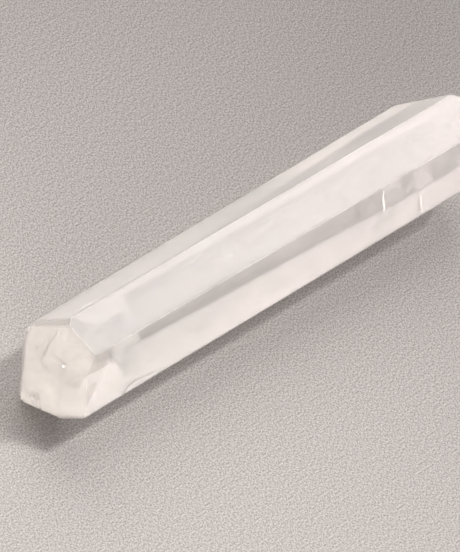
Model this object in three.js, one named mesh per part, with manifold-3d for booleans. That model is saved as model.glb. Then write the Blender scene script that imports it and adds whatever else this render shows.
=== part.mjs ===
// A long polished quartz point, lying on one of its prism faces.
//
// The crystal is one solid: six prism faces, six facets that close the tip, a flat polished base
// and four small bevels ground round the base. Every face is a plane, so the body is worked out as
// the space that all the planes enclose. A long chip is then split off the near edge of the base,
// and a chip at the foot of the base and a nick on the far edge are scooped out.
//
// Millimetres. X runs along the crystal from its base to its tip, Z is up. The origin is under the
// middle of the crystal, on the surface that it rests on.

import * as THREE from 'three';
import { ConvexGeometry } from 'three/addons/geometries/ConvexGeometry.js';
import { mergeVertices } from 'three/addons/utils/BufferGeometryUtils.js';
import Module from 'manifold-3d';

const wasm = await Module();
wasm.setup();

// ---------------------------------------------------------------------------------------------
// Driving dimensions
// ---------------------------------------------------------------------------------------------

// Angle between a prism face and the rhombohedral face above it, in quartz.
const RHOMBOHEDRAL_SLOPE = 38.2;

// Each prism face: turn is where it looks, in degrees round the long axis from +Y towards +Z;
// reach is its distance from the axis at the base; flare is how far it moves out per 100 mm.
const PRISM_FACES = {
  upperFar: { turn: 37.5, reach: 7.18, flare: -0.5 },
  top: { turn: 94.5, reach: 7.28, flare: 0.18 },
  upperNear: { turn: 156.0, reach: 5.93, flare: 1.09 },
  lowerNear: { turn: 221.8, reach: 7.16, flare: 0.27 },
  resting: { turn: 270.0, reach: 8.5, flare: 0.0 },
  lowerFar: { turn: 331.5, reach: 5.78, flare: 0.87 },
};

// Each facet of the tip starts on one prism face, at start mm from the base. Three are large and
// meet at the apex, and three small ones start further on. swing is how far the polishing has
// turned a facet away from the prism face under it.
const TIP_FACETS = [
  { above: 'upperFar', start: 106.4, swing: -14.0 },
  { above: 'top', start: 109.6, swing: 2.0 },
  { above: 'upperNear', start: 106.8, swing: 3.0 },
  { above: 'lowerNear', start: 109.4, swing: -4.0 },
  { above: 'resting', start: 105.0, swing: 3.0 },
  { above: 'lowerFar', start: 110.0, swing: 0.0 },
];

// Bevels round the base: lean is the angle between the bevel and the long axis, and reach is the
// distance from the axis to the bevel's edge on the base.
const BASE_BEVELS = [
  { turn: 354.7, lean: 23.6, reach: 6.45 },
  { turn: 42.6, lean: 25.2, reach: 6.77 },
  { turn: 244.9, lean: 25.0, reach: 6.85 },
  { turn: 289.6, lean: 25.0, reach: 7.96 },
];

// The chip on the near edge of the base: two flat breaks that start at the ends of that edge and
// meet in a valley. The valley runs from its foot, on the base, to its crest, on the prism face.
const EDGE_CHIP = {
  face: 'upperNear',
  neighbours: ['top', 'lowerNear'],
  foot: [0, -4.07, 3.32],
  crest: [4.4, -4.61, 4.35],
};
const CHIP_OVERSHOOT = 3;
const CHIP_SPREAD = 14;

// Scars: each is a shallow lens-shaped scoop. at is its middle (mm from the base, across, up from
// the axis), size its half-lengths along the same directions, roll its turn round the long axis.
const SCARS = [
  { at: [-0.25, -0.35, -6.5], size: [0.6, 1.45, 0.75], roll: 12.0 },
  { at: [99.3, 8.12, 0.7], size: [1.2, 0.36, 0.6], roll: 10.0 },
];
const SCAR_SEGMENTS = 20;

// How far along the crystal a prism face's flare is measured.
const FLARE_LENGTH = 100;

// Planes whose normals enclose less than this volume don't meet in a usable point.
const PARALLEL_LIMIT = 1e-6;

// A corner may stick out this far past a plane and still count as enclosed by it.
const ENCLOSED_TOLERANCE = 1e-7;

// Corners this close together are one corner.
const MERGE_DISTANCE = 1e-5;

const QUARTZ = { color: 0xe6ded8, roughness: 0.06, metalness: 0.0, flatShading: true };

// ---------------------------------------------------------------------------------------------
// Planes
// ---------------------------------------------------------------------------------------------

const BASE = { normal: new THREE.Vector3(-1, 0, 0), distance: 0 };

// The direction that looks out from the long axis at a given turn.
function outward(turn) {
  const angle = THREE.MathUtils.degToRad(turn);
  return new THREE.Vector3(0, Math.cos(angle), Math.sin(angle));
}

// A plane that lies reach from the axis at the given station along it, and leans towards the axis
// on the tip's side of that station (or on the base's side, for a negative lean).
function facet(turn, lean, station, reach) {
  const angle = THREE.MathUtils.degToRad(lean);
  const normal = outward(turn).multiplyScalar(Math.cos(angle));
  normal.x = Math.sin(angle);
  const point = outward(turn).multiplyScalar(reach);
  point.x = station;
  return { normal, distance: normal.dot(point) };
}

function prismFace({ turn, reach, flare }) {
  const lean = -THREE.MathUtils.radToDeg(Math.atan(flare / FLARE_LENGTH));
  return facet(turn, lean, 0, reach);
}

function tipFacet({ above, start, swing }) {
  const { turn, reach, flare } = PRISM_FACES[above];
  const reachThere = reach + (flare * start) / FLARE_LENGTH;
  return facet(turn + swing, RHOMBOHEDRAL_SLOPE, start, reachThere);
}

function baseBevel({ turn, lean, reach }) {
  return facet(turn, -lean, 0, reach);
}

// ---------------------------------------------------------------------------------------------
// Solids
// ---------------------------------------------------------------------------------------------

// The point where three planes meet, or null where they don't meet in one point.
function meetingPoint(a, b, c) {
  const rows = new THREE.Matrix3(
    a.normal.x, a.normal.y, a.normal.z,
    b.normal.x, b.normal.y, b.normal.z,
    c.normal.x, c.normal.y, c.normal.z,
  );
  if (Math.abs(rows.determinant()) < PARALLEL_LIMIT) {
    return null;
  }
  return new THREE.Vector3(a.distance, b.distance, c.distance).applyMatrix3(rows.invert());
}

// The corners of the space that lies behind every plane.
function enclosedCorners(planes) {
  const corners = [];
  for (let i = 0; i < planes.length; i += 1) {
    for (let j = i + 1; j < planes.length; j += 1) {
      for (let k = j + 1; k < planes.length; k += 1) {
        const corner = meetingPoint(planes[i], planes[j], planes[k]);
        const enclosed = corner
          && planes.every((p) => p.normal.dot(corner) <= p.distance + ENCLOSED_TOLERANCE);
        if (enclosed) {
          corners.push(corner);
        }
      }
    }
  }
  return corners;
}

// A closed geometry as a solid that can be joined and cut.
function toSolid(geometry) {
  const bare = geometry.clone();
  bare.deleteAttribute('normal');
  bare.deleteAttribute('uv');
  const merged = mergeVertices(bare, MERGE_DISTANCE);
  return new wasm.Manifold(new wasm.Mesh({
    numProp: 3,
    vertProperties: new Float32Array(merged.getAttribute('position').array),
    triVerts: new Uint32Array(merged.getIndex().array),
  }));
}

function toGeometry(solid) {
  const { vertProperties, triVerts } = solid.getMesh();
  const geometry = new THREE.BufferGeometry();
  geometry.setAttribute('position', new THREE.BufferAttribute(vertProperties, 3));
  geometry.setIndex(new THREE.BufferAttribute(triVerts, 1));
  return geometry;
}

function crystalBody() {
  const planes = [
    BASE,
    ...Object.values(PRISM_FACES).map(prismFace),
    ...TIP_FACETS.map(tipFacet),
    ...BASE_BEVELS.map(baseBevel),
  ];
  return toSolid(new ConvexGeometry(enclosedCorners(planes)));
}

// The wedge that the edge chip takes away. Its two flat sides meet in the chip's valley, and each
// passes through one end of the broken edge.
function chipWedge({ face, neighbours, foot, crest }) {
  const start = new THREE.Vector3(...foot);
  const valley = new THREE.Vector3(...crest).sub(start);
  const length = valley.length();
  valley.normalize();
  const bottom = start.clone().addScaledVector(valley, -CHIP_OVERSHOOT);
  const top = start.clone().addScaledVector(valley, length + CHIP_OVERSHOOT);
  const corners = [bottom, top];
  for (const neighbour of neighbours) {
    const beside = prismFace(PRISM_FACES[neighbour]);
    const edgeEnd = meetingPoint(BASE, prismFace(PRISM_FACES[face]), beside);
    const side = edgeEnd.sub(start);
    side.addScaledVector(valley, -side.dot(valley)).setLength(CHIP_SPREAD);
    corners.push(bottom.clone().add(side), top.clone().add(side));
  }
  return toSolid(new ConvexGeometry(corners));
}

function scarScoop({ at, size, roll }) {
  const scoop = new THREE.SphereGeometry(1, SCAR_SEGMENTS, SCAR_SEGMENTS / 2);
  scoop.scale(...size);
  scoop.rotateX(THREE.MathUtils.degToRad(roll));
  scoop.translate(...at);
  return toSolid(scoop);
}

function chippedCrystal() {
  const losses = [chipWedge(EDGE_CHIP), ...SCARS.map(scarScoop)];
  return losses.reduce((crystal, loss) => crystal.subtract(loss), crystalBody());
}

// Moves the crystal so that it stands on Z = 0 with the origin under its middle.
function seat(geometry) {
  geometry.computeBoundingBox();
  const { min, max } = geometry.boundingBox;
  geometry.translate(-(min.x + max.x) / 2, -(min.y + max.y) / 2, -min.z);
  return geometry;
}

// ---------------------------------------------------------------------------------------------
// The part
// ---------------------------------------------------------------------------------------------

const point = new THREE.Mesh(
  seat(toGeometry(chippedCrystal())),
  new THREE.MeshStandardMaterial(QUARTZ),
);
point.name = 'quartz_point';

const part = new THREE.Group();
part.add(point);

export default part;
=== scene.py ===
"""A polished quartz point: the crystal, the clouds and cracks inside it, and a plain studio.

Laid out as a Blender add-on. Run as a script, it builds everything once.
"""

import math
import random

import bmesh
import bpy
from bpy.props import FloatProperty, FloatVectorProperty, PointerProperty
from mathutils import Matrix, Vector, noise


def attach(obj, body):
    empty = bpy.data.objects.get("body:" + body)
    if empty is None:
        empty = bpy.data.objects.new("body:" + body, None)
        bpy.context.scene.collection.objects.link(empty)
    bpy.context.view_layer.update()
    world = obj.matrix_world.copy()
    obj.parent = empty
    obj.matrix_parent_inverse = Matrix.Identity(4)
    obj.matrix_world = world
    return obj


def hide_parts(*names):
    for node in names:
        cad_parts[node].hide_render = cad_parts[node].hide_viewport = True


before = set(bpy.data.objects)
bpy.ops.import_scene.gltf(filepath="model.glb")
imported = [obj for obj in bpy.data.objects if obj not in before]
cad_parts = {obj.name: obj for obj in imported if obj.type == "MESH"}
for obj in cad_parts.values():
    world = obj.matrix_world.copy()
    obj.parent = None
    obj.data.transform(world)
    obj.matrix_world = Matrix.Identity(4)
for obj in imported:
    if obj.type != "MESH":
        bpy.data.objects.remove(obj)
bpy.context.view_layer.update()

bl_info = {
    "name": "Quartz Point",
    "version": (1, 0, 0),
    "blender": (4, 5, 0),
    "location": "View3D > Sidebar > Quartz Point",
    "description": "Builds a polished quartz crystal point with its inner veils, and a studio",
    "category": "Add Mesh",
}

MM = 0.001
CRYSTAL_NODE = "quartz_point"
BODY = "root"
QUARTZ_IOR = 1.544

# The crystal's own axes: x from the cut base to the tip, y and z across it from the long axis.
# They start in the plane of the base, at this place of the frame, in mm.
AXIS_ORIGIN = Vector((-57.7325, 0.283, 8.5))


def at(x, y, z):
    """A point given in millimetres along and across the crystal's own axis."""
    return (Vector((x, y, z)) + AXIS_ORIGIN) * MM


def along(point):
    """The crystal's own coordinates of a point, in millimetres."""
    return point / MM - AXIS_ORIGIN


# ---------------------------------------------------------------------------------------------
# Settings
# ---------------------------------------------------------------------------------------------

# What every colour and every share among the settings have in common.
COLOUR = {"min": 0.0, "max": 1.0, "size": 3, "subtype": "COLOR"}
SHARE = {"min": 0.0, "max": 1.0, "subtype": "FACTOR"}


class QuartzCrystalSettings(bpy.types.PropertyGroup):
    edge_wear: FloatProperty(
        name="Edge wear",
        description="Width of the polished round along each edge of the crystal",
        default=0.035 * MM,
        min=0.0,
        max=1.0 * MM,
        subtype="DISTANCE",
        unit="LENGTH",
        precision=5,
    )
    body_colour: FloatVectorProperty(
        name="Body colour",
        description="Colour of the quartz itself",
        default=(0.95, 0.93, 0.91),
        **COLOUR,
    )
    clarity: FloatProperty(
        name="Clarity",
        description="Share of the light that passes through the crystal's surface",
        default=0.8,
        **SHARE,
    )


class QuartzHazeSettings(bpy.types.PropertyGroup):
    colour: FloatVectorProperty(
        name="Haze colour",
        description="Colour of the milky haze inside the crystal",
        default=(0.63, 0.595, 0.595),
        **COLOUR,
    )
    second_colour: FloatVectorProperty(
        name="Second haze colour",
        description="Colour that the haze drifts to in patches",
        default=(0.615, 0.6, 0.58),
        **COLOUR,
    )
    side_colour: FloatVectorProperty(
        name="Side veil colour",
        description="Colour of the whitest parts of the veils under the faces",
        default=(0.93, 0.88, 0.87),
        **COLOUR,
    )
    side_shade: FloatVectorProperty(
        name="Side veil shade",
        description="Colour of the greyer parts of the veils under the side faces",
        default=(0.83, 0.815, 0.775),
        **COLOUR,
    )
    # The smoky band is painted shade: a dark veil that stands in for the shaded floor seen through the
    # near face.
    painted_shade_colour: FloatVectorProperty(
        name="Painted shade colour",
        description="Colour of the faint painted shade under the near face",
        default=(0.3, 0.275, 0.255),
        **COLOUR,
    )
    base_colour: FloatVectorProperty(
        name="Base cloud colour",
        description="Colour of the dense cloud behind the cut base",
        default=(0.95, 0.905, 0.857),
        **COLOUR,
    )
    base_density: FloatProperty(
        name="Base cloud density",
        description="How much each layer of the cloud behind the base hides of what lies behind it",
        default=0.45,
        **SHARE,
    )
    veil_density: FloatProperty(
        name="Veil density",
        description="How much the thin veils under the faces hide of what lies behind them",
        default=0.6,
        **SHARE,
    )
    density: FloatProperty(
        name="Haze density",
        description="How much each layer of haze hides of what lies behind it",
        default=0.42,
        **SHARE,
    )


class QuartzFlawSettings(bpy.types.PropertyGroup):
    bright_colour: FloatVectorProperty(
        name="Bright flaw colour",
        description="Colour of the cracks, flecks and specks that catch the light",
        default=(0.97, 0.93, 0.91),
        **COLOUR,
    )
    dark_colour: FloatVectorProperty(
        name="Dark flaw colour",
        description="Colour of the fine cracks and specks that look dark",
        default=(0.3, 0.27, 0.24),
        **COLOUR,
    )
    fleck_strength: FloatProperty(
        name="Fleck strength",
        description="How solid the tiny flecks under the faces look",
        default=0.1,
        **SHARE,
    )


class QuartzStudioSettings(bpy.types.PropertyGroup):
    floor_colour: FloatVectorProperty(
        name="Floor colour",
        description="Colour of the plain floor",
        default=(0.378, 0.355, 0.345),
        **COLOUR,
    )
    camera_distance: FloatProperty(
        name="Camera distance",
        description="Distance from the camera to the crystal's cut base",
        default=1.5,
        min=0.1,
        subtype="DISTANCE",
        unit="LENGTH",
    )


# ---------------------------------------------------------------------------------------------
# Helpers
# ---------------------------------------------------------------------------------------------


def new_object(name, data):
    ob = bpy.data.objects.new(name, data)
    bpy.context.scene.collection.objects.link(ob)
    return ob


def new_piece(name, bm, material):
    """A named piece of the crystal, riding on it."""
    mesh = bpy.data.meshes.new(name)
    bm.to_mesh(mesh)
    bm.free()
    mesh.materials.append(material)
    piece = new_object(name, mesh)
    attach(piece, BODY)
    return piece


def principled(name):
    """A new material with its node tree and its main shader."""
    material = bpy.data.materials.new(name)
    material.use_nodes = True
    return material, material.node_tree, material.node_tree.nodes["Principled BSDF"]


def add_node(tree, kind, **values):
    """A node with its settings and plain input values, by name."""
    node = tree.nodes.new(kind)
    for name, value in values.items():
        if hasattr(node, name):
            setattr(node, name, value)
        else:
            node.inputs[name.replace("_", " ").title()].default_value = value
    return node


def add_noise(tree, scale, detail):
    """A noise that is fixed to the piece, as a level about one half."""
    place = add_node(tree, "ShaderNodeTexCoord")
    texture = add_node(tree, "ShaderNodeTexNoise", scale=scale, detail=detail)
    tree.links.new(place.outputs["Object"], texture.inputs["Vector"])
    return texture.outputs["Fac"]


def add_levels(tree, value, low, high, to_low, to_high):
    """Stretches a value that runs from low to high, to run from to_low to to_high."""
    levels = add_node(tree, "ShaderNodeMapRange")
    levels.inputs["From Min"].default_value = low
    levels.inputs["From Max"].default_value = high
    levels.inputs["To Min"].default_value = to_low
    levels.inputs["To Max"].default_value = to_high
    tree.links.new(value, levels.inputs["Value"])
    return levels.outputs["Result"]


def tone(colour, share):
    """A darker or lighter tone of a colour."""
    return tuple(share * c for c in colour)


def set_ramp(ramp, low, high):
    """Runs a colour ramp from one (position, colour) to another."""
    for stop, (position, colour) in zip(ramp.color_ramp.elements, (low, high)):
        stop.position = position
        stop.color = (*colour, 1.0)


def smooth(low, high, value):
    """Runs smoothly from 0 at low to 1 at high."""
    t = min(1.0, max(0.0, (value - low) / (high - low)))
    return t * t * (3.0 - 2.0 * t)


# ---------------------------------------------------------------------------------------------
# Crystal
# ---------------------------------------------------------------------------------------------

FACET_AREA = 4.0 * MM * MM  # a smaller face belongs to a scar, not to a facet
SCAR_FACE_AREA = 1.0 * MM * MM  # the scars' own faces are smaller, and their rims stay sharp
HOLLOW_DEPTH = 0.05 * MM  # a facet with a corner this far in front of it is part of the chip
SAME_PLANE = 0.01 * MM  # a corner this close to a break of the chip belongs to it
WORN_ANGLE = math.radians(12.0)  # a blunter edge than this isn't worn
LAMP_SHARE = 0.62  # share of the lamps' light that passes through the crystal's surface


def cleaned_body():
    """The solid's own faces, each facet one polygon."""
    source = bpy.data.objects.get(CRYSTAL_NODE)
    if source is None:
        raise RuntimeError("the crystal's solid is missing")
    bm = bmesh.new()
    bm.from_mesh(source.data)
    bmesh.ops.remove_doubles(bm, verts=bm.verts, dist=1e-6)
    bmesh.ops.dissolve_limit(bm, angle_limit=math.radians(1.0), verts=bm.verts, edges=bm.edges)
    bm.normal_update()
    return bm


def facet_planes():
    """Point and outward normal of each large facet: those that bound the crystal, then the chip's."""
    bm = cleaned_body()
    corners = [vert.co.copy() for vert in bm.verts]
    outer, chip = [], []
    for face in bm.faces:
        if face.calc_area() < FACET_AREA:
            continue
        point, normal = face.calc_center_median(), face.normal.copy()
        hollow = any((corner - point).dot(normal) > HOLLOW_DEPTH for corner in corners)
        (chip if hollow else outer).append((point, normal))
    bm.free()
    return outer, chip


# The facets that bound the crystal, and the two breaks of the chip on the edge of its base.
PLANES, CHIP = facet_planes()


def let_light_through(tree, shader, share):
    """Lets the given share of the light from lamps straight through, as clear and milky quartz do."""
    rays = add_node(tree, "ShaderNodeLightPath")
    clear = add_node(tree, "ShaderNodeBsdfTransparent")
    clear.inputs["Color"].default_value = (share, share, share, 1.0)
    mix = add_node(tree, "ShaderNodeMixShader")
    tree.links.new(rays.outputs["Is Shadow Ray"], mix.inputs[0])
    tree.links.new(shader.outputs[0], mix.inputs[1])
    tree.links.new(clear.outputs[0], mix.inputs[2])
    tree.links.new(mix.outputs[0], tree.nodes["Material Output"].inputs["Surface"])


def crystal_material(settings):
    """Clear quartz with a little milk in it, which darkens slightly with depth."""
    material, tree, shader = principled("polished_quartz")
    shader.inputs["Base Color"].default_value = (*settings.body_colour, 1.0)
    shader.inputs["Roughness"].default_value = 0.05
    shader.inputs["IOR"].default_value = QUARTZ_IOR
    shader.inputs["Transmission Weight"].default_value = settings.clarity
    shader.inputs["Subsurface Weight"].default_value = 1.0
    shader.inputs["Subsurface Radius"].default_value = (1.0, 0.95, 0.9)
    shader.inputs["Subsurface Scale"].default_value = 0.003
    absorb = add_node(tree, "ShaderNodeVolumeAbsorption")
    absorb.inputs["Color"].default_value = (0.9, 0.86, 0.84, 1.0)
    absorb.inputs["Density"].default_value = 8.0
    tree.links.new(absorb.outputs[0], tree.nodes["Material Output"].inputs["Volume"])
    let_light_through(tree, shader, LAMP_SHARE)
    return material


def worn_edge_material(settings):
    """The fine dull line of tiny bruises along an edge."""
    material, tree, shader = principled("worn_edge")
    shader.inputs["Roughness"].default_value = 0.4
    shader.inputs["IOR"].default_value = QUARTZ_IOR
    shader.inputs["Subsurface Weight"].default_value = 1.0
    shader.inputs["Subsurface Radius"].default_value = (1.0, 1.0, 1.0)
    shader.inputs["Subsurface Scale"].default_value = 0.0015
    ramp = add_node(tree, "ShaderNodeValToRGB")
    set_ramp(ramp, (0.0, tone(settings.body_colour, 0.6)), (1.0, tone(settings.body_colour, 0.82)))
    tree.links.new(add_noise(tree, 1200.0, 2.0), ramp.inputs["Fac"])
    tree.links.new(ramp.outputs["Color"], shader.inputs["Base Color"])
    return material


def is_worn(edge):
    """Whether an edge is a polished one. The rims of the chip and of the scars are still fresh."""
    for point, normal in CHIP:
        if all(abs((vert.co - point).dot(normal)) < SAME_PLANE for vert in edge.verts):
            return False
    smallest = min(face.calc_area() for face in edge.link_faces)
    return edge.calc_face_angle(0.0) > WORN_ANGLE and smallest > SCAR_FACE_AREA


class MESH_OT_quartz_crystal(bpy.types.Operator):
    """Build the polished crystal with worn edges"""

    bl_idname = "mesh.quartz_crystal"
    bl_label = "Crystal"

    def execute(self, context):
        settings = context.scene.quartz_crystal
        bm = cleaned_body()
        sharp = [edge for edge in bm.edges if is_worn(edge)]
        worn = bmesh.ops.bevel(
            bm,
            geom=sharp,
            offset=settings.edge_wear,
            segments=2,
            profile=0.5,
            affect="EDGES",
            clamp_overlap=True,
        )
        for face in worn["faces"]:
            face.material_index = 1
        piece = new_piece("crystal", bm, crystal_material(settings))
        piece.data.materials.append(worn_edge_material(settings))
        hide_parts(CRYSTAL_NODE)
        return {"FINISHED"}


# ---------------------------------------------------------------------------------------------
# Haze
# ---------------------------------------------------------------------------------------------

# Where each long prism face looks, in degrees round the crystal's axis. It rests on the sixth.
FAR, TOP, NEAR, LOW_NEAR, LOW_FAR = 37.5, 94.5, 156.0, 221.8, 331.5
BEVEL = 42.6  # where the ground bevel at the far top corner of the base looks
LONG_FACE_SLOPE = 0.1  # the long faces look less than this along the crystal


def outward(turn):
    """The way a face at the given turn round the axis looks."""
    angle = math.radians(turn)
    return Vector((0.0, math.cos(angle), math.sin(angle)))


def across(turn):
    """Sideways over a prism face: up the far face, over the top one and down the near one."""
    angle = math.radians(turn)
    return Vector((0.0, -math.sin(angle), math.cos(angle)))


def under_face(turn, x, w, depth):
    """The point depth mm inside a prism face, x mm along and w mm across it."""
    look = outward(turn)
    long_faces = [(point, normal) for point, normal in PLANES if abs(normal.x) < LONG_FACE_SLOPE]
    point, normal = max(long_faces, key=lambda plane: plane[1].dot(look))
    flat = Vector((x, 0.0, 0.0)) + across(turn) * w
    reach = (normal.dot(along(point) - flat) - depth) / normal.dot(look)
    return flat + look * reach


def edge_distance(co):
    """How far inside the crystal's surface a point lies, in mm."""
    faces = min((point - co).dot(normal) for point, normal in PLANES)
    breaks = max((point - co).dot(normal) for point, normal in CHIP)
    return min(faces, breaks) / MM


def veil_material(name, colours, white, density, fine=0.9, contrast=0.5, tint_size=6.0, share=None):
    """A milky veil of fine inclusions in two tints, white where its whiteness is 1.

    The sizes of the grain and of the patches of tint are in mm.
    """
    material, tree, shader = principled(name)
    link = tree.links.new
    shader.inputs["Roughness"].default_value = 0.9
    shader.inputs["Specular IOR Level"].default_value = 0.0
    ramp = add_node(tree, "ShaderNodeValToRGB")
    set_ramp(ramp, (0.4, colours[0]), (0.6, colours[1]))
    link(add_noise(tree, 1.0 / (tint_size * MM), 3.0), ramp.inputs["Fac"])
    pale = add_node(tree, "ShaderNodeAttribute", attribute_name="whiteness")
    blend = add_node(tree, "ShaderNodeMixRGB")
    blend.inputs["Color2"].default_value = (*white, 1.0)
    link(pale.outputs["Fac"], blend.inputs["Fac"])
    link(ramp.outputs["Color"], blend.inputs["Color1"])
    link(blend.outputs["Color"], shader.inputs["Base Color"])
    thick = add_node(tree, "ShaderNodeAttribute", attribute_name="thickness")
    grain = add_noise(tree, 1.0 / (fine * MM), 4.0)
    level = add_levels(tree, grain, 0.5 - contrast, 0.5 + contrast, 0.0, 2.0 * density)
    times = add_node(tree, "ShaderNodeMath", operation="MULTIPLY", use_clamp=True)
    link(level, times.inputs[0])
    link(thick.outputs["Fac"], times.inputs[1])
    link(times.outputs[0], shader.inputs["Alpha"])
    let_light_through(tree, shader, 1.0 - 0.25 * density if share is None else share)
    return material


def cut_along(bm, point, normal, skin, clear):
    """Cuts a mesh skin mm inside a plane, and may clear what lies outside the cut."""
    bmesh.ops.bisect_plane(
        bm,
        geom=bm.verts[:] + bm.edges[:] + bm.faces[:],
        plane_co=point - normal * skin * MM,
        plane_no=normal,
        clear_outer=clear,
    )


def trimmed_grid(columns, rows, place, skin):
    """A grid of points, cut back to lie skin mm inside the crystal's surface."""
    bm = bmesh.new()
    lattice = [[bm.verts.new(at(*place(i, j))) for j in range(rows + 1)] for i in range(columns + 1)]
    for i in range(columns):
        for j in range(rows):
            bm.faces.new((lattice[i][j], lattice[i + 1][j], lattice[i + 1][j + 1], lattice[i][j + 1]))
    for point, normal in PLANES:
        cut_along(bm, point, normal, skin, True)
    for point, normal in CHIP:
        cut_along(bm, point, normal, skin, False)
    lost = [face for face in bm.faces if edge_distance(face.calc_center_median()) < skin]
    bmesh.ops.delete(bm, geom=lost, context="FACES")
    return bm


def level_sheet(x_range, y_range, height, step, wave, seed, skin):
    """A wavy sheet that lies level in the crystal."""
    columns = round((x_range[1] - x_range[0]) / step)
    rows = round((y_range[1] - y_range[0]) / step)
    shift = Vector((seed * 7.31, seed * 3.17, seed * 5.77))

    def place(i, j):
        x = x_range[0] + (x_range[1] - x_range[0]) * i / columns
        y = y_range[0] + (y_range[1] - y_range[0]) * j / rows
        p = Vector((x, y, height))
        p.z += wave * noise.noise(p * 0.09 + shift) + 0.3 * wave * noise.noise(p * 0.4 + shift)
        return p

    return trimmed_grid(columns, rows, place, skin)


def face_sheet(turn, x_range, w_range, depth, step, wave, seed, skin):
    """A wavy sheet that follows a prism face, depth mm under it."""
    columns = round((x_range[1] - x_range[0]) / step)
    rows = round((w_range[1] - w_range[0]) / step)
    shift = Vector((seed * 2.9, seed * 6.1, seed * 1.7))

    def place(i, j):
        x = x_range[0] + (x_range[1] - x_range[0]) * i / columns
        w = w_range[0] + (w_range[1] - w_range[0]) * j / rows
        return under_face(turn, x, w, depth + wave * noise.noise(Vector((x, w, 0.0)) * 0.35 + shift))

    return trimmed_grid(columns, rows, place, skin)


UNSEEN = 0.004  # a veil thinner than this is left out


def set_thickness(bm, rule, skin, feather):
    """Stores how thick and how white the veil is, fading over feather mm towards the faces."""
    layer = bm.verts.layers.float.new("thickness")
    pale = bm.verts.layers.float.new("whiteness")
    for vert in bm.verts:
        fade = smooth(0.0, feather, edge_distance(vert.co) - skin)
        thick, white = rule(along(vert.co))
        vert[layer] = thick * fade
        vert[pale] = min(1.0, max(0.0, white))
    empty = [face for face in bm.faces if all(vert[layer] < UNSEEN for vert in face.verts)]
    bmesh.ops.delete(bm, geom=empty, context="FACES")


def inside(x, w, corners, soft):
    """1 inside a convex outline and 0 outside it, with an edge soft mm wide."""
    middle_x = sum(c[0] for c in corners) / len(corners)
    middle_w = sum(c[1] for c in corners) / len(corners)
    depth = math.inf
    for (ax, aw), (bx, bw) in zip(corners, corners[1:] + corners[:1]):
        nx, nw = aw - bw, bx - ax
        size = math.hypot(nx, nw)
        side = 1.0 if nx * (middle_x - ax) + nw * (middle_w - aw) > 0.0 else -1.0
        depth = min(depth, side * (nx * (x - ax) + nw * (w - aw)) / size)
    return smooth(-0.5 * soft, 0.5 * soft, depth)


def between(value, points):
    """A level that runs straight from each (value, level) point to the next."""
    if value <= points[0][0]:
        return points[0][1]
    for (a, low), (b, high) in zip(points, points[1:]):
        if value <= b:
            return low + (high - low) * (value - a) / (b - a)
    return points[-1][1]


def mottle(p, size, seed):
    """Patchy noise about zero, between -1 and 1."""
    shift = Vector((seed * 3.7, seed * 9.1, seed * 5.3))
    return max(-1.0, min(1.0, 1.6 * noise.noise(p / size + shift)))


HAZE_HEIGHTS = (1.1, -0.9, -2.7, -4.4, -5.8, -7.0, -7.9)  # of each layer over the long axis
HAZE_LENGTH = (0.0, 116.0)
HAZE_WIDTH = (-9.0, 9.0)
HAZE_STEP = 0.7
HAZE_WAVE = 0.5
HAZE_SKIN = 0.2
HAZE_FEATHER = 0.4


def milk_level(x):
    """The sum of y and z on the flat, slanting top of the milky zone."""
    return 1.5 - 0.052 * x


def deep_rule(p):
    """Milky below a slanting plane that sinks towards the tip, and thinner in the tip."""
    body = smooth(-0.7, 0.7, milk_level(p.x) - (p.y + p.z))
    tip = 1.0 - 0.6 * smooth(90.0, 106.0, p.x + 4.0 * mottle(p, 8.0, 1.0))
    return body * tip * (0.9 + 0.2 * mottle(p, 5.0, 2.0) + 0.1 * mottle(p, 16.0, 3.0)), 0.0


class MESH_OT_quartz_haze(bpy.types.Operator):
    """Build the layers of milky haze in the lower part of the crystal"""

    bl_idname = "mesh.quartz_haze"
    bl_label = "Haze"

    def execute(self, context):
        settings = context.scene.quartz_haze
        colours = (settings.colour, settings.second_colour)
        material = veil_material("milky_haze", colours, settings.side_colour, settings.density)
        for number, height in enumerate(HAZE_HEIGHTS):
            bm = level_sheet(
                HAZE_LENGTH, HAZE_WIDTH, height, HAZE_STEP, HAZE_WAVE, number, HAZE_SKIN
            )
            set_thickness(bm, deep_rule, HAZE_SKIN, HAZE_FEATHER)
            new_piece(f"haze_{number + 1}", bm, material)
        return {"FINISHED"}


def cross_sheet(x, reach, step, wave, seed, skin):
    """A wavy sheet that lies across the crystal, x mm from its base."""
    count = round(2.0 * reach / step)
    shift = Vector((seed * 1.9, seed * 4.3, seed * 8.7))

    def place(i, j):
        p = Vector((x, reach * (2.0 * i / count - 1.0), reach * (2.0 * j / count - 1.0)))
        p.x += wave * noise.noise(p * 0.3 + shift)
        return p

    return trimmed_grid(count, count, place, skin)


CLOUD_PLACES = (0.3, 0.7, 1.3, 2.1, 3.2, 4.6)  # of each layer behind the base
CLOUD_REACH = 9.0
CLOUD_STEP = 0.4
CLOUD_SKIN = 0.12
CLOUD_FEATHER = 0.1
CLOUD_SEED = 20
CLOUD_SHADE = 0.81  # tone of the greyer parts of the cloud
SCAR_PLACE = (0.1, -6.2)  # y and z of the shallow scar at the foot of the base


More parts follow.
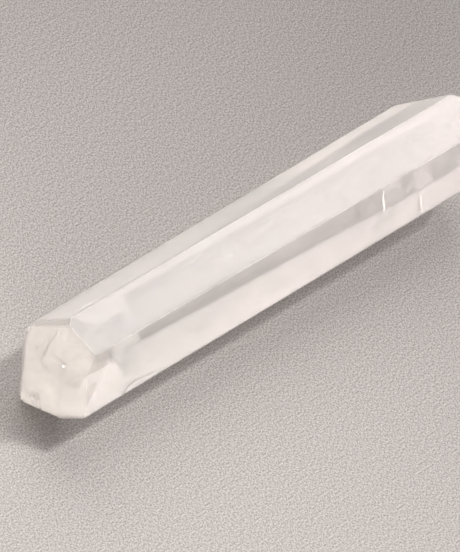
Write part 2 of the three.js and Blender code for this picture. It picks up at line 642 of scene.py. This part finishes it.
def base_rule(p):
    """A cloud that is thin behind the bevel and the scar. It is also whiter and thicker low on the
    near side and thinner up by the top: painted light and shade that even out the light coming in
    through the top.
    """
    # Painted shade: the inner layers thin out up by the top near corner, where much light comes in
    # through the top face.
    near_top = smooth(-4.0, 3.5, 0.72 * p.z - 0.69 * p.y)
    cloud = 1.0 + 0.08 * mottle(Vector((0.0, p.y, p.z)), 4.2, 5.0)
    inner = smooth(0.45, 0.7, p.x)
    clear = smooth(6.45, 6.9, outward(BEVEL).dot(p))
    walls = min(8.3 - outward(TOP).dot(p), 7.9 - outward(NEAR).dot(p))
    cover = 1.0 - inner * near_top * smooth(0.5, 3.5, p.z) * (1.0 - smooth(0.5, 4.0, walls))
    # Painted light: thicker low down, and whiter low on the near side, where less light reaches.
    low = 1.0 + 0.6 * smooth(-1.0, 5.0, -p.z)
    scar = 1.0 - smooth(0.5, 1.2, math.hypot(0.7 * (p.y - SCAR_PLACE[0]), p.z - SCAR_PLACE[1]))
    lower_near = smooth(-1.5, 3.0, -p.z - 0.35 * p.y) * (1.0 - smooth(0.0, 4.0, p.y))
    upper_near = smooth(1.5, 4.0, -p.y) * smooth(-1.5, 1.5, p.z)
    white = 0.2 * (1.0 - smooth(2.0, 5.0, p.y)) + 0.3 * lower_near - 0.3 * upper_near - 0.4 * scar
    white += 0.1 * mottle(p, 1.8, 19.0)
    return cloud * cover * low * (1.0 - 0.7 * clear) * (1.0 - 0.25 * scar), white


class MESH_OT_quartz_base_cloud(bpy.types.Operator):
    """Build the dense cloud behind the cut base"""

    bl_idname = "mesh.quartz_base_cloud"
    bl_label = "Base cloud"

    def execute(self, context):
        settings = context.scene.quartz_haze
        white = settings.base_colour
        shade = tone(white, CLOUD_SHADE)
        material = veil_material(
            "base_cloud", (shade, shade), white, settings.base_density, fine=1.4, contrast=0.8
        )
        for number, x in enumerate(CLOUD_PLACES):
            wave = 0.15 + 0.05 * number
            bm = cross_sheet(x, CLOUD_REACH, CLOUD_STEP, wave, CLOUD_SEED + number, CLOUD_SKIN)
            set_thickness(bm, base_rule, CLOUD_SKIN, CLOUD_FEATHER)
            new_piece(f"base_cloud_{number + 1}", bm, material)
        return {"FINISHED"}


# ---------------------------------------------------------------------------------------------
# Veils
# ---------------------------------------------------------------------------------------------

# Each face's marks are outlines of (x, w), lines of (x, w) or levels along it of (x, level), in mm.
# Painted reflection: where the edge of the whiter strip along the far edge of the top face runs, and
# how white the strip is along the crystal.
TOP_REFLECTION_STRIP_EDGE = [(12.0, -2.66), (82.0, -1.97), (110.0, -1.6)]
TOP_REFLECTION_STRIP_WHITE = [
    (12.0, 0.2),
    (25.0, 0.22),
    (37.0, 0.38),
    (56.0, 0.42),
    (70.0, 0.58),
    (90.0, 0.66),
]
# Painted reflection: the white patch under the top face near the base.
TOP_REFLECTION_PATCH = [(1.2, -4.4), (14.5, -4.4), (13.3, -0.84), (4.9, -0.83)]


def top_rule(p):
    """Milky, with a whiter strip along the far edge and a white patch near the base, both painted
    reflections of light mirrored inside the crystal.
    """
    x, w = p.x, p.dot(across(TOP))
    edge = between(x, TOP_REFLECTION_STRIP_EDGE)
    # Painted reflections: the strip and the patch are thicker and whiter veil.
    strip = smooth(12.6, 14.2, x) * (1.0 - smooth(edge - 0.12, edge + 0.12, w))
    patch = inside(x, w, TOP_REFLECTION_PATCH, 0.35)
    pale = 1.0 - smooth(10.5, 13.0, x + 0.2 * w)
    # Painted light: the veil grows thicker and whiter towards the tip, making up for the key lamp
    # lighting the tip end less.
    tip_painted_light = smooth(66.0, 98.0, x + 0.3 * w)
    body = 1.05 + 0.06 * (1.0 - smooth(-1.5, 1.5, w)) + 0.12 * mottle(p, 2.4, 7.0) - 0.1 * pale
    thick = max(body, 1.2 * tip_painted_light, 1.35 * strip, 1.2 * patch)
    # Whiter along towards the tip, painted light as well.
    white = 0.11 + 0.14 * smooth(10.0, 40.0, x) + 0.36 * smooth(25.0, 88.0, x)
    white += 0.07 * mottle(p, 1.3, 18.0)
    white -= 0.11 * (1.0 - smooth(-1.5, 1.0, w)) * (1.0 - 0.5 * smooth(30.0, 60.0, x))
    white *= (1.0 - strip) * (1.0 - patch)
    white += between(x, TOP_REFLECTION_STRIP_WHITE) * strip + 0.29 * patch
    return thick, white + 0.55 * tip_painted_light * (0.95 - white)


NEAR_EDGE = [(12.0, -2.45), (40.0, -1.75), (77.0, -0.5), (90.0, 0.2)]  # foot of the darker band
NEAR_BAND = [(12.0, 0.0), (40.0, 0.1), (56.0, 0.28), (70.0, 0.36), (88.0, 0.45)]
NEAR_FRONT = [(-3.0, -2.2), (4.7, -2.1), (8.6, 0.2), (10.6, 2.4), (11.2, 5.5), (-1.0, 5.5)]
NEAR_SHADE = [(4.0, -5.6), (10.8, -5.6), (12.9, -2.6), (12.4, -1.1), (9.6, 2.2), (5.4, -2.8)]
# Pale marks in the darker band: outline, softness of its edge in mm, and level.
NEAR_MARKS = [
    ([(48.8, -5.5), (50.9, -5.5), (53.4, -2.0), (51.4, -2.0)], 0.8, 0.45),
    ([(64.0, -5.5), (69.2, -5.5), (72.0, -1.0), (68.0, -1.0)], 1.0, 0.5),
    ([(79.6, -5.0), (84.0, -5.0), (87.0, 0.2), (81.0, -0.4)], 0.8, 0.85),
    ([(88.0, -4.0), (93.0, -4.0), (96.0, 0.6), (90.0, 0.6)], 1.2, 0.9),
]


def near_rule(p):
    """Milky low on the face, with a darker band above, and white and grey patches near the base."""
    x, w = p.x, p.dot(across(NEAR))
    edge = between(x, NEAR_EDGE)
    light = (1.0 + 0.09 * w) * smooth(edge - 1.1, edge + 0.4, w) * (1.0 + 0.25 * smooth(20.0, 50.0, x))
    front = inside(x, w, NEAR_FRONT, 0.4)
    shade = inside(x, w, NEAR_SHADE, 0.5)
    light = light * (1.0 - shade) + (0.6 + 0.3 * (1.0 - smooth(-3.2, -2.6, w))) * shade
    band = between(x, NEAR_BAND) * max(0.0, 1.0 + 0.8 * mottle(p, 2.2, 12.0))
    marks = max(level * inside(x, w, outline, soft) for outline, soft, level in NEAR_MARKS)
    thick = max(light * (1.0 + 0.12 * mottle(p, 2.6, 9.0)), band, marks, 1.4 * front)
    thick *= 1.0 + 0.3 * smooth(84.0, 90.0, x)
    white = 0.5 + 0.35 * smooth(15.0, 85.0, x) + 0.45 * mottle(p, 2.8, 14.0) - 0.85 * shade
    return thick, white + 0.4 * smooth(84.0, 90.0, x)


FAR_EDGE = [(30.0, 3.3), (42.0, 2.66), (65.3, 1.14), (82.9, -0.26), (92.0, -0.9)]
FAR_DARK = [(86.0, 0.0), (92.5, -0.1), (92.0, 3.6), (84.0, 3.6)]


def far_rule(p):
    """Milkier above a line that slants up the face, and clear in a wedge beside the base."""
    x, w = p.x, p.dot(across(FAR))
    edge = between(x, FAR_EDGE)
    upper = 1.0 - smooth(edge - 0.35, edge + 0.35, w)
    level = 0.5 + 0.25 * smooth(60.0, 75.0, x) + (0.4 + 0.3 * smooth(60.0, 80.0, x)) * upper
    dark = inside(x, w, FAR_DARK, 1.0)
    foot = outward(BEVEL).dot(p) + 0.45 * x
    clear = smooth(6.5, 7.0, foot) * (1.0 - smooth(7.6, 8.2, foot)) * (1.0 - smooth(2.0, 4.0, x))
    level = level * (1.0 - 0.25 * dark) * (1.0 - 0.8 * clear)
    return level * (1.0 + 0.12 * mottle(p, 3.0, 10.0)), 0.7 + 0.4 * mottle(p, 6.0, 15.0)


# Painted shade: how thick the dark veil under the near face is, along the crystal.
PAINTED_SHADE_LEVEL = [(10.6, 0.0), (12.0, 0.45), (27.0, 0.45), (38.0, 0.1), (50.0, 0.0)]


def painted_shade_rule(p):
    """Painted shade along the top of the near face, strongest near the base: a dark veil in place of
    the shaded floor seen through the face.
    """
    x, w = p.x, p.dot(across(NEAR))
    edge = between(x, NEAR_EDGE)
    front = 0.25 * (1.0 - smooth(4.4, 5.2, x)) * (1.0 - smooth(-3.6, -3.0, w))
    return max(between(x, PAINTED_SHADE_LEVEL), front) * (1.0 - smooth(edge - 0.6, edge, w)), 0.0


CHIP_CELLS = 60
CHIP_STEP = 0.2


def chip_sheet(depth, skin):
    """A flat sheet behind the long, steep break of the chip on the edge of the base."""
    point, normal = min(CHIP, key=lambda plane: plane[1].z)
    start = along(point) - normal * depth
    down = normal.cross(Vector((1.0, 0.0, 0.0))).normalized()
    out = normal.cross(down)
    middle = CHIP_CELLS // 2

    def place(i, j):
        return start + down * (i - middle) * CHIP_STEP + out * (j - middle) * CHIP_STEP

    return trimmed_grid(CHIP_CELLS, CHIP_CELLS, place, skin)


VALLEY_RISE = Vector((-0.134, 0.521, 0.853))  # square to the valley where the two breaks meet
VALLEY_LEVEL = 0.714  # where the valley lies, in mm along its rise
VALLEY_FADE = 0.32  # mm over which the veil thins out before the valley


def chip_rule(p):
    """Thick behind the steep break, and gone beyond the valley."""
    thick = 1.5 * (1.0 - smooth(VALLEY_LEVEL - VALLEY_FADE, VALLEY_LEVEL, VALLEY_RISE.dot(p)))
    return thick, 0.95 + 0.2 * mottle(p, 1.6, 17.0)


def plain_rule(p):
    """White and even."""
    return 0.7 + 0.25 * mottle(p, 5.0, 11.0), 1.0


VEIL_LENGTH = (0.0, 114.0)
VEIL_WIDTH = (-6.5, 6.5)
VEIL_DEPTH = 0.3
VEIL_STEP = 0.3
VEIL_WAVE = 0.08
VEIL_SKIN = 0.1
VEIL_FEATHER = 0.12
# Painted shade: the veil under the top face takes a darker copy of the haze colours, against the
# stronger light on the top face.
TOP_TONE = 0.84  # tone of the haze's colours under the top face

# The dark veil of painted shade under the near face.
PAINTED_SHADE_LENGTH = (0.0, 70.0)
PAINTED_SHADE_WIDTH = (-6.5, 1.0)
PAINTED_SHADE_DEPTH = 0.55
PAINTED_SHADE_STEP = 0.4
PAINTED_SHADE_WAVE = 0.05
PAINTED_SHADE_SEED = 3.0


class MESH_OT_quartz_veils(bpy.types.Operator):
    """Build the thin veils that lie just under the prism faces"""

    bl_idname = "mesh.quartz_veils"
    bl_label = "Veils"

    def execute(self, context):
        settings = context.scene.quartz_haze
        # The top veil's darker copy of the haze colours is painted shade.
        top = (tone(settings.colour, TOP_TONE), tone(settings.second_colour, TOP_TONE))
        side = (settings.side_shade, settings.side_shade)
        white, painted_shade = settings.side_colour, settings.painted_shade_colour
        density = settings.veil_density
        # The last value is the share of the lamps' light that the veil lets through.
        for name, turn, rule, colours, share in (
            ("veil_top", TOP, top_rule, top, 0.85),
            ("veil_near", NEAR, near_rule, side, 0.85),
            ("veil_far", FAR, far_rule, side, 0.85),
            ("veil_low_near", LOW_NEAR, plain_rule, side, 0.45),
            ("veil_low_far", LOW_FAR, plain_rule, side, 0.3),
        ):
            material = veil_material(
                name, colours, white, density, fine=0.35, contrast=0.5, tint_size=5.0, share=share
            )
            bm = face_sheet(
                turn, VEIL_LENGTH, VEIL_WIDTH, VEIL_DEPTH, VEIL_STEP, VEIL_WAVE, turn, VEIL_SKIN
            )
            set_thickness(bm, rule, VEIL_SKIN, VEIL_FEATHER)
            new_piece(name, bm, material)

        # A dark veil of painted shade under the near face, in place of the shaded floor seen through
        # it.
        material = veil_material("veil_painted_shade", (painted_shade, painted_shade), painted_shade, density, fine=0.45, contrast=0.7)
        bm = face_sheet(
            NEAR, PAINTED_SHADE_LENGTH, PAINTED_SHADE_WIDTH, PAINTED_SHADE_DEPTH, PAINTED_SHADE_STEP, PAINTED_SHADE_WAVE, PAINTED_SHADE_SEED, VEIL_SKIN
        )
        set_thickness(bm, painted_shade_rule, VEIL_SKIN, VEIL_FEATHER)
        new_piece("veil_painted_shade", bm, material)

        material = veil_material("veil_chip", (white, white), white, density, fine=0.45, contrast=0.7)
        bm = chip_sheet(VEIL_DEPTH, VEIL_SKIN)
        set_thickness(bm, chip_rule, VEIL_SKIN, VEIL_FEATHER)
        new_piece("veil_chip", bm, material)
        return {"FINISHED"}


# ---------------------------------------------------------------------------------------------
# Cracks and flecks
# ---------------------------------------------------------------------------------------------


FLAKE_CORNERS = 6
FLAKE_TURN_SPREAD = 5.0  # degrees
FLAKE_TIP_SPREAD = 0.08  # slope along the crystal


def grain_material(name, colour, strength, size, mirror=0.0, roughness=0.5):
    """A small flaw, broken up by a fine noise. A gap full of air mirrors the light."""
    material, tree, shader = principled(name)
    shader.inputs["Base Color"].default_value = (*colour, 1.0)
    shader.inputs["Roughness"].default_value = roughness
    shader.inputs["Metallic"].default_value = mirror
    grain = add_noise(tree, 1.0 / (size * MM), 3.0)
    level = add_levels(tree, grain, 0.3, 0.6, 0.6 * strength, strength)
    tree.links.new(level, shader.inputs["Alpha"])
    return material


def add_flake(bm, rng, centre, facing, lean, length, width):
    """A thin irregular flake about a point. It faces nearly the given turn about the long axis."""
    normal = outward(facing + rng.gauss(0.0, FLAKE_TURN_SPREAD))
    normal += Vector((rng.gauss(0.0, FLAKE_TIP_SPREAD), 0.0, 0.0))
    side = across(facing)
    along_it = (Vector((math.cos(lean), 0.0, 0.0)) + side * math.sin(lean)).normalized()
    along_it = (along_it - normal * along_it.dot(normal) / normal.length_squared).normalized()
    over_it = normal.normalized().cross(along_it)
    ring = []
    for k in range(FLAKE_CORNERS):
        turn_round = 2.0 * math.pi * k / FLAKE_CORNERS
        a = length * math.cos(turn_round) * (0.75 + 0.5 * rng.random())
        b = width * math.sin(turn_round) * (0.75 + 0.5 * rng.random())
        ring.append(bm.verts.new(at(*(centre + along_it * a + over_it * b))))
    bm.faces.new(ring)


def add_crack(bm, rng, turn, facing, points):
    """A crack under a face, as a chain of flakes through (x, w, half width) points."""
    for (ax, aw, a_half), (bx, bw, b_half) in zip(points, points[1:]):
        run = Vector((bx - ax, bw - aw))
        lean = math.atan2(run.y, run.x)
        for k in range(max(2, round(run.length * (10.0 + 40.0 * a_half)))):
            t = rng.random()
            half = a_half + (b_half - a_half) * t
            x = ax + run.x * t + rng.gauss(0.0, 0.4) * half * math.sin(lean)
            w = aw + run.y * t + rng.gauss(0.0, 0.4) * half * math.cos(lean)
            centre = under_face(turn, x, w, 0.16 + 0.3 * half)
            add_flake(bm, rng, centre, facing, lean, 0.12 + 0.6 * half, 0.05 + 0.5 * half)


# Turns at which flakes under the near and the far face catch the lamps, in degrees.
NEAR_GLINT = 115.0
FAR_GLINT = 79.0

# Cracks: the face they lie under, the turn their flakes face, and (x, w, half width), in mm.
BRIGHT_CRACKS = [
    (NEAR, NEAR_GLINT, [(79.4, -4.6, 0.1), (79.5, -3.9, 0.13), (79.8, -2.7, 0.2), (80.0, -1.8, 0.45)]),
    (NEAR, NEAR_GLINT, [(80.0, -2.0, 0.42), (80.3, -1.0, 0.6), (80.6, -0.3, 0.4)]),
    (NEAR, NEAR_GLINT, [(93.4, 4.4, 0.2), (92.7, 3.4, 0.36), (92.1, 2.2, 0.4), (91.7, 1.0, 0.26)]),
    (NEAR, NEAR_GLINT, [(61.6, -1.0, 0.06), (62.3, -1.2, 0.14), (62.9, -1.7, 0.06)]),
    (FAR, FAR_GLINT, [(90.6, -3.3, 0.16), (91.3, -2.2, 0.34), (92.0, -0.8, 0.34), (92.6, 0.4, 0.1)]),
    (FAR, FAR_GLINT, [(73.4, 2.8, 0.03), (75.6, 2.1, 0.08), (78.5, 1.3, 0.1), (81.5, 0.8, 0.05)]),
    (
        FAR,
        FAR_GLINT,
        [(5.0, 2.4, 0.06), (6.2, 2.6, 0.12), (7.6, 2.3, 0.1), (8.6, 2.7, 0.14), (9.8, 2.4, 0.06)],
    ),
]
DARK_CRACKS = [
    (NEAR, NEAR, [(10.2, 5.0, 0.16), (10.9, 4.5, 0.14), (11.5, 3.95, 0.12), (12.8, 3.8, 0.08)]),
    (NEAR, NEAR, [(12.8, 3.8, 0.05), (15.3, 4.0, 0.03), (18.0, 4.3, 0.02)]),
    (FAR, FAR, [(0.9, -1.2, 0.1), (1.3, -0.8, 0.14)]),
]

# Zones of flecks: the face, the turn they face, the x and w they span, how many, longest half.
FLECK_ZONES = [
    (TOP, TOP, (15.5, 40.0), (-2.2, 2.8), 110, 0.44),
    (TOP, TOP, (40.0, 64.0), (-1.8, 2.8), 75, 0.46),
    (TOP, TOP, (46.5, 50.5), (-1.2, 1.2), 16, 0.48),
    (TOP, TOP, (63.8, 66.4), (0.4, 1.8), 12, 0.48),
    (TOP, TOP, (58.0, 82.0), (-1.8, 3.0), 120, 0.48),
    (NEAR, NEAR_GLINT, (13.0, 45.0), (-4.4, 3.5), 50, 0.46),
    (NEAR, NEAR_GLINT, (45.0, 90.0), (-4.4, 2.5), 80, 0.48),
    (FAR, FAR_GLINT, (60.0, 95.0), (-3.0, 2.5), 45, 0.45),
]
FLECK_LEAN = -58.0  # degrees from the crystal's length, and how far they scatter from it
FLECK_LEAN_SPREAD = 16.0
FLECK_SLENDER = 0.26  # width for a length of 1
FLAW_SEED = 7


class MESH_OT_quartz_flaws(bpy.types.Operator):
    """Build the cracks and flecks just under the prism faces"""

    bl_idname = "mesh.quartz_flaws"
    bl_label = "Cracks and flecks"

    def execute(self, context):
        settings = context.scene.quartz_flaws
        pale, strength = settings.bright_colour, settings.fleck_strength
        bright = grain_material("bright_flaw", pale, 0.55, 0.4, mirror=1.0, roughness=0.48)
        dark = grain_material("dark_flaw", settings.dark_colour, 0.8, 0.5)
        faint = grain_material("fleck", pale, strength, 0.5, mirror=1.0, roughness=0.42)
        rng = random.Random(FLAW_SEED)
        for name, cracks, material in (
            ("cracks", BRIGHT_CRACKS, bright),
            ("fine_cracks", DARK_CRACKS, dark),
        ):
            bm = bmesh.new()
            for turn, facing, points in cracks:
                add_crack(bm, rng, turn, facing, points)
            new_piece(name, bm, material)
        bm = bmesh.new()
        for turn, facing, x_range, w_range, count, reach in FLECK_ZONES:
            for _ in range(count):
                length = reach * (0.2 + 0.8 * rng.random() ** 2)
                x, w = rng.uniform(*x_range), rng.uniform(*w_range)
                centre = under_face(turn, x, w, 0.14 + 0.12 * length)
                lean = math.radians(rng.gauss(FLECK_LEAN, FLECK_LEAN_SPREAD))
                add_flake(bm, rng, centre, facing, lean, length, FLECK_SLENDER * length)
        new_piece("flecks", bm, faint)
        return {"FINISHED"}


# Specks just behind the base: y, z and radius, in mm.
BRIGHT_SPECKS = [(-0.42, 1.45, 0.19), (-3.6, -0.6, 0.1), (1.9, 5.2, 0.1), (2.2, -3.4, 0.12)]
DARK_SPECKS = [
    (-0.24, 2.02, 0.2),
    (4.42, 0.58, 0.32),
    (4.9, -0.4, 0.1),
    (0.9, -4.9, 0.14),
    (1.4, -6.3, 0.2),
]
# Fine cracks just behind the base, through (y, z, half width) points, in mm.
LONG_BASE_CRACK = [
    (3.15, 4.9, 0.05),
    (3.22, 3.9, 0.12),
    (3.2, 3.0, 0.1),
    (3.02, 1.4, 0.16),
    (2.88, 0.0, 0.12),
    (2.8, -0.9, 0.04),
]
BASE_CRACKS = [
    LONG_BASE_CRACK,
    [(2.6, -0.7, 0.03), (2.2, -1.0, 0.1), (1.3, -0.8, 0.14), (0.5, -1.1, 0.05)],
    [(0.5, 1.5, 0.03), (0.06, 1.75, 0.1), (-0.5, 2.1, 0.08), (-1.0, 2.0, 0.03)],
    [(-1.8, 0.0, 0.02), (-2.8, 1.4, 0.05), (-3.3, 2.8, 0.05), (-3.5, 3.6, 0.02)],
]
BASE_LOOK = Vector((-1.0, 0.0, 0.0))
GLINT_LOOK = Vector((-0.92, -0.3, 0.27)).normalized()  # the way a bright speck faces
BRIGHT_SPECK_PLACE = 0.28  # behind the base, in mm, as the next one
DARK_SPECK_PLACE = 0.2
BRUISE_CENTRE = Vector((0.6, 0.0, -5.9))  # a dark bruise behind the scar
BRUISE_RADIUS = 0.75
SPECK_CORNERS = 7
STREAK_STEP = 0.22
SPECK_SEED = 11


def add_speck(bm, rng, centre, normal, radius):
    """A small irregular disc."""
    side = normal.cross(Vector((0.0, 0.0, 1.0))).normalized()
    over = normal.cross(side).normalized()
    ring = []
    for k in range(SPECK_CORNERS):
        turn, reach = 2.0 * math.pi * k / SPECK_CORNERS, radius * rng.uniform(0.7, 1.2)
        corner = centre + side * reach * math.cos(turn) + over * reach * math.sin(turn)
        ring.append(bm.verts.new(at(*corner)))
    bm.faces.new(ring)


def add_streak(bm, rng, x, points):
    """A ragged ribbon across the crystal, x mm from its base."""
    rails = []
    for (ay, az, a_half), (by, bz, b_half) in zip(points, points[1:]):
        run = Vector((by - ay, bz - az))
        side = Vector((-run.y, run.x)).normalized()
        steps = max(2, round(run.length / STREAK_STEP))
        ends_here = points[-1] == (by, bz, b_half)
        for k in range(steps + 1 if ends_here else steps):
            t = k / steps
            half = (a_half + (b_half - a_half) * t) * rng.uniform(0.5, 1.4)
            middle = Vector((ay, az)) + run * t + side * rng.gauss(0.0, 0.03)
            rails.append([bm.verts.new(at(x, *(middle + side * reach))) for reach in (-half, half)])
    for (a, b), (c, d) in zip(rails, rails[1:]):
        bm.faces.new((a, c, d, b))


class MESH_OT_quartz_specks(bpy.types.Operator):
    """Build the specks and fine cracks just behind the cut base"""

    bl_idname = "mesh.quartz_specks"
    bl_label = "Base specks"

    def execute(self, context):
        settings = context.scene.quartz_flaws
        pale, dark = settings.bright_colour, settings.dark_colour
        rng = random.Random(SPECK_SEED)
        bm = bmesh.new()
        for y, z, radius in BRIGHT_SPECKS:
            add_speck(bm, rng, Vector((BRIGHT_SPECK_PLACE, y, z)), GLINT_LOOK, radius)
        new_piece("bright_specks", bm, grain_material("bright_speck", pale, 0.9, 0.3, mirror=1.0))
        bm = bmesh.new()
        for y, z, radius in DARK_SPECKS:
            add_speck(bm, rng, Vector((DARK_SPECK_PLACE, y, z)), BASE_LOOK, radius)
        new_piece("dark_specks", bm, grain_material("dark_speck", dark, 0.5, 0.3))
        bm = bmesh.new()
        for points in BASE_CRACKS:
            add_streak(bm, rng, DARK_SPECK_PLACE, points)
        add_speck(bm, rng, BRUISE_CENTRE, BASE_LOOK, BRUISE_RADIUS)
        new_piece("base_cracks", bm, grain_material("base_crack", dark, 0.34, 0.4))
        return {"FINISHED"}


# ---------------------------------------------------------------------------------------------
# Studio
# ---------------------------------------------------------------------------------------------

CAMERA_TARGET = Vector((-0.0405, -0.0077, 0.0295))
CAMERA_AZIMUTH = -167.07
CAMERA_ELEVATION = 35.52
CAMERA_ROLL = 37.06
SENSOR = 36.0
FRAME_HEIGHT = 0.07877  # metres across the long side of the picture, at the crystal
FAR_CLIP = 20.0

FLOOR_SIZE = 1.5  # from its middle to its side
FLOOR_GAP = 0.05 * MM  # the floor's grain holds the crystal this far off it
FLOOR_DARK, FLOOR_LIGHT = 0.6, 1.4  # tones of the floor's grain

LAMP_COLOUR = (1.0, 0.97, 0.95)
WORLD_COLOUR = (1.0, 0.96, 0.935)
WORLD_STRENGTH = 0.26
# Softboxes: name, azimuth and elevation in degrees, distance and size in metres, and watts.
SOFTBOXES = (
    ("back", 60.0, 46.0, 1.5, 0.95, 16.5),
    ("fill", -152.0, 8.0, 2.4, 1.2, 60.0),
)
KEY_POWER = 56.0
KEY_AZIMUTH, KEY_ELEVATION, KEY_DISTANCE = -9.0, 60.0, 1.2
KEY_RADIUS = 0.085
KEY_CONE = math.radians(21.5)
KEY_TARGET = Vector((-0.13, -0.085, 0.0))


def bearing(azimuth, elevation):
    """The way from the crystal to something at a bearing in degrees."""
    turn, rise = math.radians(azimuth), math.radians(elevation)
    return Vector((math.cos(rise) * math.cos(turn), math.cos(rise) * math.sin(turn), math.sin(rise)))


def add_camera(settings):
    data = bpy.data.cameras.new("camera")
    data.sensor_width = SENSOR
    data.lens = SENSOR * settings.camera_distance / FRAME_HEIGHT
    data.clip_end = FAR_CLIP
    camera = new_object("camera", data)
    away = bearing(CAMERA_AZIMUTH, CAMERA_ELEVATION)
    level = away.to_track_quat("Z", "Y").to_matrix().to_4x4()
    turned = level @ Matrix.Rotation(math.radians(CAMERA_ROLL), 4, "Z")
    camera.matrix_world = Matrix.Translation(CAMERA_TARGET + away * settings.camera_distance) @ turned
    bpy.context.scene.camera = camera


def floor_material(settings):
    """A plain matt surface with a fine grain."""
    material, tree, shader = principled("floor")
    shader.inputs["Roughness"].default_value = 0.6
    shader.inputs["Specular IOR Level"].default_value = 0.3
    ramp = add_node(tree, "ShaderNodeValToRGB")
    dark, light = tone(settings.floor_colour, FLOOR_DARK), tone(settings.floor_colour, FLOOR_LIGHT)
    set_ramp(ramp, (0.34, dark), (0.66, light))
    tree.links.new(add_noise(tree, 3400.0, 3.0), ramp.inputs["Fac"])
    tree.links.new(ramp.outputs["Color"], shader.inputs["Base Color"])
    return material


def add_floor(settings):
    mesh = bpy.data.meshes.new("floor")
    bm = bmesh.new()
    bmesh.ops.create_grid(bm, x_segments=8, y_segments=8, size=FLOOR_SIZE)
    bm.to_mesh(mesh)
    bm.free()
    mesh.materials.append(floor_material(settings))
    floor = new_object("floor", mesh)
    floor.location.z = -FLOOR_GAP


def place_lamp(data, place, target):
    """A lamp at a place, turned to a target and not seen itself."""
    data.color = LAMP_COLOUR
    lamp = new_object(data.name, data)
    lamp.location = place
    lamp.rotation_euler = (place - target).to_track_quat("Z", "Y").to_euler()
    lamp.visible_camera = False


def add_softbox(name, azimuth, elevation, distance, size, power):
    """A square area lamp that faces the crystal from the given bearing, in degrees."""
    data = bpy.data.lights.new(name, "AREA")
    data.shape = "SQUARE"
    data.size = size
    data.energy = power
    place_lamp(data, bearing(azimuth, elevation) * distance, Vector((0.0, 0.0, 0.0)))


def add_key():
    """A round lamp with a wide soft edge, brightest on the floor in front of the base."""
    data = bpy.data.lights.new("key", "SPOT")
    data.energy = KEY_POWER
    data.shadow_soft_size = KEY_RADIUS
    data.spot_size = KEY_CONE
    data.spot_blend = 1.0
    place_lamp(data, bearing(KEY_AZIMUTH, KEY_ELEVATION) * KEY_DISTANCE, KEY_TARGET)


def add_world():
    world = bpy.data.worlds.new("studio")
    world.use_nodes = True
    background = world.node_tree.nodes["Background"]
    background.inputs["Color"].default_value = (*WORLD_COLOUR, 1.0)
    background.inputs["Strength"].default_value = WORLD_STRENGTH
    bpy.context.scene.world = world


class SCENE_OT_quartz_studio(bpy.types.Operator):
    """Build the floor, the lights and the camera"""

    bl_idname = "scene.quartz_studio"
    bl_label = "Studio"

    def execute(self, context):
        settings = context.scene.quartz_studio
        context.scene.view_settings.view_transform = "Standard"
        add_camera(settings)
        add_floor(settings)
        add_world()
        add_key()
        for softbox in SOFTBOXES:
            add_softbox(*softbox)
        return {"FINISHED"}


# ---------------------------------------------------------------------------------------------
# Add-on
# ---------------------------------------------------------------------------------------------


class VIEW3D_PT_quartz_point(bpy.types.Panel):
    bl_label = "Quartz Point"
    bl_idname = "VIEW3D_PT_quartz_point"
    bl_space_type = "VIEW_3D"
    bl_region_type = "UI"
    bl_category = "Quartz Point"

    def draw(self, context):
        layout = self.layout
        scene = context.scene
        for settings, operators in (
            (scene.quartz_crystal, (MESH_OT_quartz_crystal,)),
            (
                scene.quartz_haze,
                (MESH_OT_quartz_haze, MESH_OT_quartz_base_cloud, MESH_OT_quartz_veils),
            ),
            (scene.quartz_flaws, (MESH_OT_quartz_flaws, MESH_OT_quartz_specks)),
            (scene.quartz_studio, (SCENE_OT_quartz_studio,)),
        ):
            box = layout.box()
            for name in settings.__annotations__:
                box.prop(settings, name)
            for operator in operators:
                box.operator(operator.bl_idname)


CLASSES = (
    QuartzCrystalSettings,
    QuartzHazeSettings,
    QuartzFlawSettings,
    QuartzStudioSettings,
    MESH_OT_quartz_crystal,
    MESH_OT_quartz_haze,
    MESH_OT_quartz_base_cloud,
    MESH_OT_quartz_veils,
    MESH_OT_quartz_flaws,
    MESH_OT_quartz_specks,
    SCENE_OT_quartz_studio,
    VIEW3D_PT_quartz_point,
)


def register():
    for cls in CLASSES:
        bpy.utils.register_class(cls)
    bpy.types.Scene.quartz_crystal = PointerProperty(type=QuartzCrystalSettings)
    bpy.types.Scene.quartz_haze = PointerProperty(type=QuartzHazeSettings)
    bpy.types.Scene.quartz_flaws = PointerProperty(type=QuartzFlawSettings)
    bpy.types.Scene.quartz_studio = PointerProperty(type=QuartzStudioSettings)


def unregister():
    del bpy.types.Scene.quartz_studio
    del bpy.types.Scene.quartz_flaws
    del bpy.types.Scene.quartz_haze
    del bpy.types.Scene.quartz_crystal
    for cls in reversed(CLASSES):
        bpy.utils.unregister_class(cls)


def main():
    register()
    bpy.ops.scene.quartz_studio()
    bpy.ops.mesh.quartz_crystal()
    bpy.ops.mesh.quartz_haze()
    bpy.ops.mesh.quartz_base_cloud()
    bpy.ops.mesh.quartz_veils()
    bpy.ops.mesh.quartz_flaws()
    bpy.ops.mesh.quartz_specks()


if __name__ == "__main__":
    main()
